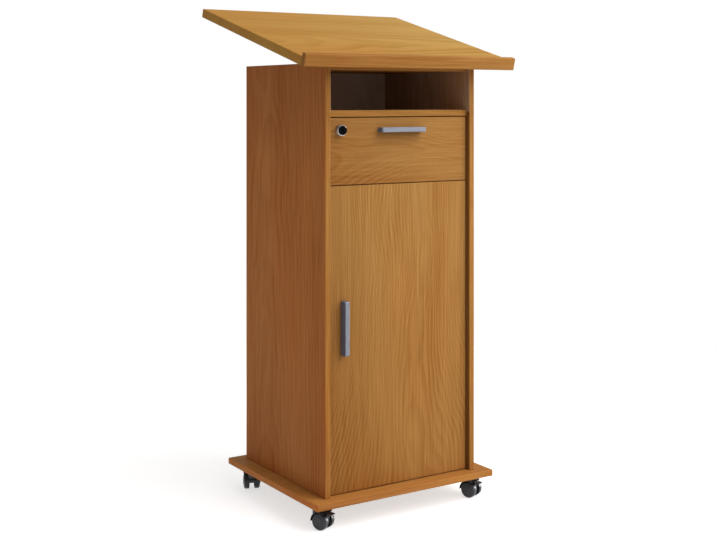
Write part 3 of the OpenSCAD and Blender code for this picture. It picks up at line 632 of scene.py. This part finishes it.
def dress(material, *names):
    """Gives CAD nodes a material."""
    for name in names:
        slots = NODES[name].material_slots
        if not slots:
            NODES[name].data.materials.append(material)
        for slot in slots:
            slot.material = material


# Screws
def add_ring(mesh, radius, height):
    """A ring of vertices round a screw's axis."""
    ring = []
    for side in range(HEAD_SIDES):
        angle = 2 * math.pi * side / HEAD_SIDES
        ring.append(mesh.verts.new((radius * math.cos(angle), radius * math.sin(angle), height)))
    return ring


def add_cross(mesh, radius, height):
    """The corners of a cross recess: the three at one arm, turned to each quarter."""
    arm, half = radius * RECESS_ARM, radius * RECESS_HALF_WIDTH
    cross = []
    for along, aside in ((1, 0), (0, 1), (-1, 0), (0, -1)):
        for x, y in ((half, -half), (arm, -half), (arm, half)):
            cross.append(mesh.verts.new((x * along - y * aside, x * aside + y * along, height)))
    return cross


def join_loops(mesh, first, second):
    """A band of faces between two closed loops of vertices."""
    for index in range(len(first)):
        after = (index + 1) % len(first)
        mesh.faces.new((first[index], first[after], second[after], second[index]))


def screw_mesh(name, radius, height):
    """A low domed screw head with a cross recess, its seat on z = 0."""
    mesh = bmesh.new()
    rings = [add_ring(mesh, radius * wide, height * high) for wide, high in HEAD_PROFILE]
    for low, high in zip(rings, rings[1:]):
        join_loops(mesh, low, high)
    mesh.faces.new(list(reversed(rings[0])))

    cross = add_cross(mesh, radius, height)
    edges = [mesh.edges.new(pair) for pair in zip(cross, cross[1:] + cross[:1])]
    top = [edge for edge in mesh.edges if edge.verts[0] in rings[-1] and edge.verts[1] in rings[-1]]
    bmesh.ops.triangle_fill(mesh, edges=edges + top, use_beauty=True)
    floor = []
    for corner in cross:
        place = (corner.co.x * RECESS_FLOOR, corner.co.y * RECESS_FLOOR, height * (1 - RECESS_DEPTH))
        floor.append(mesh.verts.new(place))
    join_loops(mesh, cross, floor)
    mesh.faces.new(floor)

    bmesh.ops.recalc_face_normals(mesh, faces=mesh.faces)
    data = bpy.data.meshes.new(name)
    mesh.to_mesh(data)
    mesh.free()
    return data


def place_screws(name, body, seats, size, material):
    """One piece that holds every screw head of a group. Each seat is a point and an outward direction."""
    head = screw_mesh(name + "_head", *size)
    joined = bmesh.new()
    for place, outward in seats:
        turn = Vector(UP).rotation_difference(Vector(outward)).to_matrix().to_4x4()
        copy = head.copy()
        copy.transform(Matrix.Translation(Vector(place)) @ turn)
        joined.from_mesh(copy)
        bpy.data.meshes.remove(copy)
    data = bpy.data.meshes.new(name)
    joined.to_mesh(data)
    joined.free()
    bpy.data.meshes.remove(head)
    data.materials.append(material)
    piece = bpy.data.objects.new(name, data)
    bpy.context.scene.collection.objects.link(piece)
    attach(piece, body)


def castor_plate_seats():
    """Four seats under each castor plate."""
    under_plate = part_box("castor_plates")[1].z - PLATE_T
    seats = []
    for name in CASTORS:
        x, y = JOINTS[name + "_swivel"]["pos_m"][:2]
        for hole_x in (x - PLATE_HOLE, x + PLATE_HOLE):
            for hole_y in (y - PLATE_HOLE, y + PLATE_HOLE):
                seats.append(((hole_x, hole_y, under_plate), DOWN))
    return seats


def hinge_seats(x, y, from_middle, outward):
    """Two seats on each hinge, above and below its middle."""
    low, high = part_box("hinge_cups")
    middles = (low.z + CUP_FLANGE_HALF, high.z - CUP_FLANGE_HALF)
    return [((x, y, middle + way * from_middle), outward) for middle in middles for way in (-1, 1)]


def handle_seats(handle, panel, direction):
    """Two seats behind a handle, on the back of its panel."""
    low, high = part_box(handle)
    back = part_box(panel)[1].y
    seats = []
    for way in (-1, 1):
        place = (low + high) / 2 + way * HANDLE_SCREW * Vector(direction)
        seats.append(((place.x, back, place.z), REAR))
    return seats


def tilt_leaf_seats():
    """The seats of the lower leaves, and of the upper leaves, which are turned with the reading top."""
    pivot = Vector(JOINTS["top_tilt"]["pos_m"])
    turn = Matrix.Rotation(TILT, 3, "X")
    lower, upper = [], []
    for side in (-1, 1):
        for row in LEAF_ROWS:
            lower_x = side * (FITTING_X + LEAF_T - LEAF_W * row)
            upper_x = side * (FITTING_X + LEAF_STACK - LEAF_T + LEAF_W * row)
            for way in (-1, 1):
                place = Vector((lower_x, LEAF_SHIFT + way * LEAF_SCREW, LEAF_T - LEAF_REACH))
                lower.append((pivot + place, UP))
                place = turn @ Vector((upper_x, -LEAF_SHIFT + way * LEAF_SCREW, LEAF_REACH - LEAF_T))
                upper.append((pivot + place, turn @ Vector(DOWN)))
    return lower, upper


# Stage
def seen_as_white(tree):
    """One where a camera, a reflection or glass looks, and zero where light is gathered."""
    path = tree.nodes.new("ShaderNodeLightPath")
    seen = maths(tree, "MAXIMUM", path.outputs["Is Camera Ray"], path.outputs["Is Glossy Ray"])
    return maths(tree, "MAXIMUM", seen, path.outputs["Is Transmission Ray"])


def light_room(scene, level):
    """Even light from all round, seen as white. What the metal and plastic mirror has a darker ceiling and
    a bright low window at the right."""
    world = bpy.data.worlds.new("Studio")
    world.use_nodes = True
    tree = world.node_tree
    tree.nodes.clear()
    direction = add_node(tree, "ShaderNodeTexCoord").outputs["Generated"]
    glossy = tree.nodes.new("ShaderNodeLightPath").outputs["Is Glossy Ray"]
    height = ramp(tree, separated(tree, direction)[Z], CEILING_HEIGHTS)
    mirrored = maths(tree, "MULTIPLY", glossy, height)
    white = ramp(tree, mirrored, ZERO_TO_ONE, (1.0, CEILING_LEVEL), smooth=False)
    towards = vector_maths(tree, "DOT_PRODUCT", direction, WINDOW)
    window = maths(tree, "MULTIPLY", ramp(tree, towards, WINDOW_EDGE, (0.0, WINDOW_GAIN)), glossy)
    white = maths(tree, "ADD", white, window)
    lit = add_node(tree, "ShaderNodeBackground", {"Color": WHITE, "Strength": level}).outputs[0]
    seen = add_node(tree, "ShaderNodeBackground", {"Color": WHITE, "Strength": white}).outputs[0]
    both = add_node(tree, "ShaderNodeMixShader", {0: seen_as_white(tree), 1: lit, 2: seen}).outputs[0]
    add_node(tree, "ShaderNodeOutputWorld", {"Surface": both})
    scene.world = world


def floor_material():
    """A pale floor that takes the desk's shadow, looks brighter than it lights, and fades to white."""
    material, tree, shader = new_material("Pale Floor")
    place = object_place(tree)
    speck = ramp(tree, noise(tree, place, FLOOR_SPECKS), NOISE_SPAN)
    inputs = {
        "Base Color": mix_colour(tree, speck, *FLOOR_TONES),
        "Roughness": FLOOR_ROUGHNESS,
        "Specular IOR Level": FLOOR_SPECULAR,
    }
    set_inputs(tree, shader, inputs)
    plain = shader.outputs[0]
    glow = add_node(tree, "ShaderNodeEmission", {"Color": WHITE, "Strength": FLOOR_LIFT}).outputs[0]
    white = add_node(tree, "ShaderNodeEmission", {"Color": WHITE, "Strength": 1.0}).outputs[0]
    lifted = add_node(tree, "ShaderNodeAddShader", {0: plain, 1: glow}).outputs[0]
    seen = seen_as_white(tree)
    near = add_node(tree, "ShaderNodeMixShader", {0: seen, 1: plain, 2: lifted}).outputs[0]
    edge = ramp(tree, vector_maths(tree, "LENGTH", place), FLOOR_FADE)
    far = maths(tree, "MULTIPLY", edge, seen)
    whole = add_node(tree, "ShaderNodeMixShader", {0: far, 1: near, 2: white}).outputs[0]
    output = [node for node in tree.nodes if node.type == "OUTPUT_MATERIAL"][0]
    set_inputs(tree, output, {"Surface": whole})
    return material


def lay_floor():
    """Lays a round floor under the desk."""
    mesh = bmesh.new()
    bmesh.ops.create_circle(mesh, cap_ends=True, radius=FLOOR_REACH, segments=FLOOR_SIDES)
    data = bpy.data.meshes.new("studio_floor")
    mesh.to_mesh(data)
    mesh.free()
    data.materials.append(floor_material())
    floor = bpy.data.objects.new("studio_floor", data)
    bpy.context.scene.collection.objects.link(floor)


def hang_key_light(power):
    """Hangs the large soft light at the front right."""
    light = bpy.data.lights.new("Key Light", "AREA")
    light.shape = "SQUARE"
    light.size = KEY_SIZE
    light.energy = power
    holder = bpy.data.objects.new("Key Light", light)
    holder.location = KEY_PLACE
    holder.rotation_euler = (Vector(KEY_AIM) - Vector(KEY_PLACE)).to_track_quat("-Z", "Y").to_euler()
    bpy.context.scene.collection.objects.link(holder)


def set_camera(scene, stage):
    """Stands the camera level where the photograph was taken from."""
    camera = bpy.data.cameras.new("Desk Camera")
    camera.lens = stage.lens
    camera.sensor_width = SENSOR_WIDTH
    camera.shift_y = stage.horizon
    camera.clip_end = FARTHEST_SEEN
    holder = bpy.data.objects.new("Desk Camera", camera)
    holder.location = stage.camera_place
    holder.rotation_euler = (math.radians(90), 0, -stage.camera_yaw)
    scene.collection.objects.link(holder)
    scene.camera = holder


# Settings
class DeskWoodSettings(bpy.types.PropertyGroup):
    """Colours and figure of the wood"""
    light_tone: bpy.props.FloatVectorProperty(
        name="Light Tone", description="Colour of the pale wood between the rings", subtype="COLOR",
        size=3, min=0, max=1, default=(0.485, 0.238, 0.066))
    dark_tone: bpy.props.FloatVectorProperty(
        name="Dark Tone", description="Colour of the late wood in the rings", subtype="COLOR",
        size=3, min=0, max=1, default=(0.315, 0.124, 0.024))
    ring_spacing: bpy.props.FloatProperty(
        name="Ring Spacing", description="Distance from one ring to the next", subtype="DISTANCE",
        unit="LENGTH", min=0.002, max=0.05, default=0.012)
    gloss: bpy.props.FloatProperty(
        name="Gloss", description="How strongly the lacquer reflects", min=0, max=1, default=0.035)


class DeskMetalSettings(bpy.types.PropertyGroup):
    """Colours of the metal"""
    handle_tone: bpy.props.FloatVectorProperty(
        name="Handle Tone", description="Colour of the satin handles", subtype="COLOR",
        size=3, min=0, max=1, default=(0.243, 0.254, 0.300))
    zinc_tone: bpy.props.FloatVectorProperty(
        name="Zinc Tone", description="Colour of the zinc plated fittings", subtype="COLOR",
        size=3, min=0, max=1, default=(0.55, 0.57, 0.60))
    chrome_tone: bpy.props.FloatVectorProperty(
        name="Chrome Tone", description="Colour of the lock's collar, the hinge pins and the rivets",
        subtype="COLOR", size=3, min=0, max=1, default=(0.66, 0.64, 0.62))


class DeskPlasticSettings(bpy.types.PropertyGroup):
    """Colours of the moulded plastic"""
    castor_tone: bpy.props.FloatVectorProperty(
        name="Castor Tone", description="Colour of the moulded castor hoods and levers", subtype="COLOR",
        size=3, min=0, max=1, default=(0.013, 0.013, 0.016))
    wheel_tone: bpy.props.FloatVectorProperty(
        name="Wheel Tone", description="Colour of the castor wheels", subtype="COLOR",
        size=3, min=0, max=1, default=(0.016, 0.016, 0.021))


class DeskStageSettings(bpy.types.PropertyGroup):
    """Camera and light"""
    camera_place: bpy.props.FloatVectorProperty(
        name="Camera Place", description="Where the camera stands", subtype="TRANSLATION",
        unit="LENGTH", size=3, default=(-1.6683, -2.6127, 0.9865))
    camera_yaw: bpy.props.FloatProperty(
        name="Camera Yaw", description="How far the camera is turned to the right of straight ahead",
        subtype="ANGLE", unit="ROTATION", default=math.radians(32.67))
    lens: bpy.props.FloatProperty(
        name="Lens", description="Focal length for a sensor 36 mm wide", min=10, max=300, default=61.82)
    horizon: bpy.props.FloatProperty(
        name="Horizon Shift",
        description="How far the lens is shifted up, as a share of the sensor's width",
        min=-1, max=1, default=-0.23786)
    key_power: bpy.props.FloatProperty(
        name="Key Light Power", description="Power of the large soft light at the front", subtype="POWER",
        unit="POWER", min=0, default=211)
    sky_level: bpy.props.FloatProperty(
        name="Room Light Level", description="Brightness of the light from all round",
        min=0, max=2, default=0.38)


# Operators
class DESK_OT_cabinet(bpy.types.Operator):
    """Finishes the boards of the cabinet"""
    bl_idname = "desk.finish_cabinet"
    bl_label = "Finish Cabinet"

    def execute(self, context):
        look = context.scene.desk_wood
        gap = look.ring_spacing
        for name, node, heart, outside, inward in (
            ("Beech Left Side", "left_side_panel", (0.07, -0.30, -0.6), LEFT_SIDE_PAINTED_SHADE, RIGHT),
            ("Beech Right Side", "right_side_panel", (-0.03, 0.31, -0.5), RIGHT_SIDE_PAINTED_SHADE, LEFT),
        ):
            # Painted shade on the reveals, and painted light on them in the open compartment
            reveal = PaintedLight(REVEAL_PAINTED_SHADE, inward)
            compartment = PaintedLight(COMPARTMENT_PAINTED_LIGHT, inward, COMPARTMENT_FADE)
            side = wood_material(
                name, look, SIDE_CUT, heart=heart, spacing=gap, taper=0.04, wave=0.10, rings=0.4,
                fibre=0.6, warm=0.9, banded=True,
                painted_light=(outside, reveal, compartment, SIDE_TOP_PAINTED_SHADOW, SIDE_FOOT_PAINTED_SHADE))
            dress(side, node)
        # Painted shade on the base's left edge and towards the left of its front
        base = wood_material(
            "Beech Base", look, SHELF_CUT, heart=(0.11, -0.05, -1.1), spacing=gap * 0.9, taper=0.03,
            wave=0.03, rings=0.45, fibre=0.5, tones=BASE_TONES, painted_light=BASE_PAINTED_SHADE)
        # Painted light on the shelves' upper faces and painted shade on their fronts
        shelf = wood_material(
            "Beech Shelves", look, SHELF_CUT, heart=(0.03, 0.62, -0.7), spacing=gap, taper=0.05,
            wave=0.03, rings=0.45, fibre=0.5, painted_light=SHELF_PAINTED_LIGHT_AND_SHADE)
        # The rear's tones are painted light
        rear = wood_material(
            "Beech Rear", look, UPRIGHT_CUT, heart=(0.06, 0.03, -0.4), spacing=gap, taper=0.09,
            wave=0.04, rings=0.45, tones=REAR_PAINTED_LIGHT_TONES)
        dress(base, "base_board")
        dress(shelf, "top_panel", "fixed_shelf", "divider_panel", "adjustable_shelf")
        dress(rear, "back_panel")
        return {"FINISHED"}


class DESK_OT_reading_top(bpy.types.Operator):
    """Finishes the reading board and its lip"""
    bl_idname = "desk.finish_reading_top"
    bl_label = "Finish Reading Top"

    def execute(self, context):
        look = context.scene.desk_wood
        gap = look.ring_spacing
        # A painted sheen towards the right of the reading board
        board = wood_material(
            "Beech Reading Board", look, SHELF_CUT, heart=(0.20, 0.985, -1.4), spacing=gap, taper=0.045,
            wave=0.06, rings=0.55, fibre=0.5, tilt=TILT, tones=TOP_TONES, painted_light=(TOP_PAINTED_SHEEN,))
        # Painted shade towards the left of the lip
        lip = wood_material(
            "Beech Lip", look, CROSSWAYS_CUT, heart=(1.12, 0.03, -0.8), spacing=gap * 0.8, taper=0.02,
            wave=0.02, rings=0.45, fibre=0.6, tilt=TILT, painted_light=(LIP_PAINTED_SHADE,))
        dress(board, "reading_board")
        dress(lip, "paper_lip")
        return {"FINISHED"}


class DESK_OT_drawer(bpy.types.Operator):
    """Finishes the drawer front and the drawer box"""
    bl_idname = "desk.finish_drawer"
    bl_label = "Finish Drawer"

    def execute(self, context):
        look = context.scene.desk_wood
        # Painted shade towards the left of the drawer front
        front = wood_material(
            "Beech Drawer Front", look, CROSSWAYS_CUT, heart=(0.855, -0.235, 0.0), spacing=9.5 * MM,
            taper=0.04, wave=0.11, rings=0.6, fibre=0.5, tones=DRAWER_TONES, flare=(1.0, -0.19, 0.10),
            painted_light=(DRAWER_PAINTED_SHADE,))
        inside = wood_material(
            "Lacquered Drawer Sides", look, BOX_CUT, heart=(0.6, 0.35, -0.5), spacing=9 * MM, taper=0.03,
            wave=0.02, rings=0.4, tones=BOX_TONES)
        rails = wood_material(
            "Waxed Runner Rails", look, BOX_CUT, heart=(0.5, 0.55, -0.4), spacing=6 * MM, taper=0.02,
            wave=0.01, rings=0.5, tones=BOX_TONES)
        dress(front, "drawer_front")
        dress(inside, "drawer_left_side", "drawer_right_side", "drawer_back", "drawer_bottom")
        dress(rails, "drawer_rails")
        return {"FINISHED"}


class DESK_OT_door(bpy.types.Operator):
    """Finishes the cupboard door"""
    bl_idname = "desk.finish_door"
    bl_label = "Finish Door"

    def execute(self, context):
        look = context.scene.desk_wood
        # Painted shade towards the left and towards the foot of the door
        door = wood_material(
            "Beech Door", look, UPRIGHT_CUT, heart=(0.055, -0.228, 0.0), spacing=11.5 * MM, taper=0.03,
            wave=0.13, rings=0.75, fibre=0.6, tones=DOOR_TONES, flare=(0.7, 0.10, 0.62),
            painted_light=DOOR_PAINTED_SHADE)
        dress(door, "door_panel")
        return {"FINISHED"}


class DESK_OT_fittings(bpy.types.Operator):
    """Finishes the handles, the lock, the hinges and the tilt fittings"""
    bl_idname = "desk.finish_fittings"
    bl_label = "Finish Fittings"

    def execute(self, context):
        metal = context.scene.desk_metal
        handle = tuple(metal.handle_tone)
        scratch = toned(handle, HANDLE_SCRATCH)
        # Painted shade on the handles' ends and sides
        for name, node, along, shade in (
            ("Satin Drawer Handle", "drawer_handle", X, HANDLE_END_PAINTED_SHADE),
            ("Satin Door Handle", "door_handle", Z, HANDLE_SIDE_PAINTED_SHADE),
        ):
            satin = metal_material(
                name, handle, scratch, along, smooth=0.40, dull=0.50, metallic=0.4, painted_side_shade=shade)
            dress(satin, node)

        chrome = tuple(metal.chrome_tone)
        scratch = toned(chrome, CHROME_SCRATCH)
        polished = {"along": Y, "smooth": 0.12, "dull": 0.20, "bump": POLISHED_BUMP}
        dress(metal_material("Pin Steel", chrome, scratch, **polished), "hinge_pins", "tilt_rivets")
        low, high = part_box("lock_plug")
        middle = (low.z + high.z) / 2
        # Painted shade on the collar's upper part, standing in for its darker reflection
        painted_collar_shade = PaintedLight(COLLAR_PAINTED_SHADE, fade=(Z, middle + COLLAR_FULL, middle + COLLAR_NONE))
        collar = metal_material(
            "Lock Chrome", chrome, scratch, metallic=0.45, painted_light=(painted_collar_shade,), **polished)
        dress(collar, "lock_housing")
        plug = moulded_material("Lock Black", *PLUG_TONES, smooth=0.3, dull=0.45, specular=0.02)
        dress(plug, "lock_plug")

        zinc = tuple(metal.zinc_tone)
        scratch = toned(zinc, ZINC_SCRATCH)
        steel = metal_material("Zinc Plated Steel", zinc, scratch, along=Y, smooth=0.28, dull=0.42)
        axles = [name + "_castor_axle" for name in CASTORS]
        dress(
            steel, "shelf_pegs", "hinge_plates", "hinge_arms", "hinge_cups", "castor_plates", "lock_cam",
            "tilt_lower_leaves", "tilt_upper_leaves", *axles)
        return {"FINISHED"}


class DESK_OT_castors(bpy.types.Operator):
    """Finishes the castors' hoods, levers and wheels"""
    bl_idname = "desk.finish_castors"
    bl_label = "Finish Castors"

    def execute(self, context):
        plastic = context.scene.desk_plastic
        hood = tuple(plastic.castor_tone)
        wheel = tuple(plastic.wheel_tone)
        worn_hood = toned(hood, HOOD_WEAR)
        worn_wheel = toned(wheel, WHEEL_WEAR)
        moulded = moulded_material("Moulded Castor Hood", hood, worn_hood, grain=1400, smooth=0.34)
        rolling = moulded_material(
            "Moulded Wheel", wheel, worn_wheel, grain=900, smooth=0.27, dull=0.42, specular=0.42)
        for name in CASTORS:
            dress(moulded, name + "_castor_hood")
            dress(rolling, name + "_castor_left_wheel", name + "_castor_right_wheel")
        for name in BRAKED_CASTORS:
            dress(moulded, name + "_brake_lever")
        return {"FINISHED"}


class DESK_OT_screws(bpy.types.Operator):
    """Sets the screws of the castor plates, the hinges, the tilt fittings and the handles"""
    bl_idname = "desk.set_screws"
    bl_label = "Set Screws"

    def execute(self, context):
        steel = metal_material("Screw Steel", SCREW_TONE, SCREW_SCRATCH, along=X, smooth=0.22, dull=0.38)
        place_screws("castor_plate_screws", "cabinet", castor_plate_seats(), PLATE_HEAD, steel)

        low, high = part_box("hinge_cups")
        behind_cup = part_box("door_panel")[1].y + CUP_FLANGE_T
        seats = hinge_seats((low.x + high.x) / 2, behind_cup, CUP_SCREW, REAR)
        place_screws("hinge_cup_screws", "door", seats, PLATE_HEAD, steel)

        plate_low, plate_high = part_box("hinge_plates")
        seats = hinge_seats(plate_low.x, (plate_low.y + plate_high.y) / 2, WING_SCREW, LEFT)
        place_screws("hinge_plate_screws", "cabinet", seats, PLATE_HEAD, steel)

        drawer_seats = handle_seats("drawer_handle", "drawer_front", RIGHT)
        door_seats = handle_seats("door_handle", "door_panel", UP)
        place_screws("drawer_handle_screws", "drawer", drawer_seats, HANDLE_HEAD, steel)
        place_screws("door_handle_screws", "door", door_seats, HANDLE_HEAD, steel)

        lower, upper = tilt_leaf_seats()
        place_screws("tilt_lower_screws", "cabinet", lower, LEAF_HEAD, steel)
        place_screws("tilt_upper_screws", "reading_top", upper, LEAF_HEAD, steel)
        return {"FINISHED"}


class DESK_OT_stage(bpy.types.Operator):
    """Sets up the pale floor, the soft studio light and the camera"""
    bl_idname = "desk.set_stage"
    bl_label = "Set Stage"

    def execute(self, context):
        scene = context.scene
        stage = scene.desk_stage
        scene.view_settings.view_transform = "Standard"
        light_room(scene, stage.sky_level)
        lay_floor()
        hang_key_light(stage.key_power)
        set_camera(scene, stage)
        return {"FINISHED"}


# Panel and registration
class DESK_PT_panel(bpy.types.Panel):
    """Lists the desk's finishes in the sidebar"""
    bl_idname = "DESK_PT_panel"
    bl_label = "Standing Desk"
    bl_space_type = "VIEW_3D"
    bl_region_type = "UI"
    bl_category = "Desk"

    def draw(self, context):
        layout = self.layout
        for key in SETTINGS:
            group = getattr(context.scene, key)
            box = layout.box()
            for setting in group.__class__.__annotations__:
                box.prop(group, setting)
        for operator in OPERATORS:
            layout.operator(operator.bl_idname)


SETTINGS = {
    "desk_wood": DeskWoodSettings,
    "desk_metal": DeskMetalSettings,
    "desk_plastic": DeskPlasticSettings,
    "desk_stage": DeskStageSettings,
}
OPERATORS = (
    DESK_OT_cabinet, DESK_OT_reading_top, DESK_OT_drawer, DESK_OT_door, DESK_OT_fittings,
    DESK_OT_castors, DESK_OT_screws, DESK_OT_stage)


def register():
    """Registers the settings, the operators and the panel."""
    for cls in (*SETTINGS.values(), *OPERATORS, DESK_PT_panel):
        bpy.utils.register_class(cls)
    for key, cls in SETTINGS.items():
        setattr(bpy.types.Scene, key, bpy.props.PointerProperty(type=cls))


def unregister():
    """Takes out what register put in."""
    for key in SETTINGS:
        delattr(bpy.types.Scene, key)
    for cls in (DESK_PT_panel, *reversed(OPERATORS), *reversed(tuple(SETTINGS.values()))):
        bpy.utils.unregister_class(cls)


def main():
    """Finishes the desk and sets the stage."""
    register()
    bpy.ops.desk.finish_cabinet()
    bpy.ops.desk.finish_reading_top()
    bpy.ops.desk.finish_drawer()
    bpy.ops.desk.finish_door()
    bpy.ops.desk.finish_fittings()
    bpy.ops.desk.finish_castors()
    bpy.ops.desk.set_screws()
    bpy.ops.desk.set_stage()


if __name__ == "__main__":
    main()
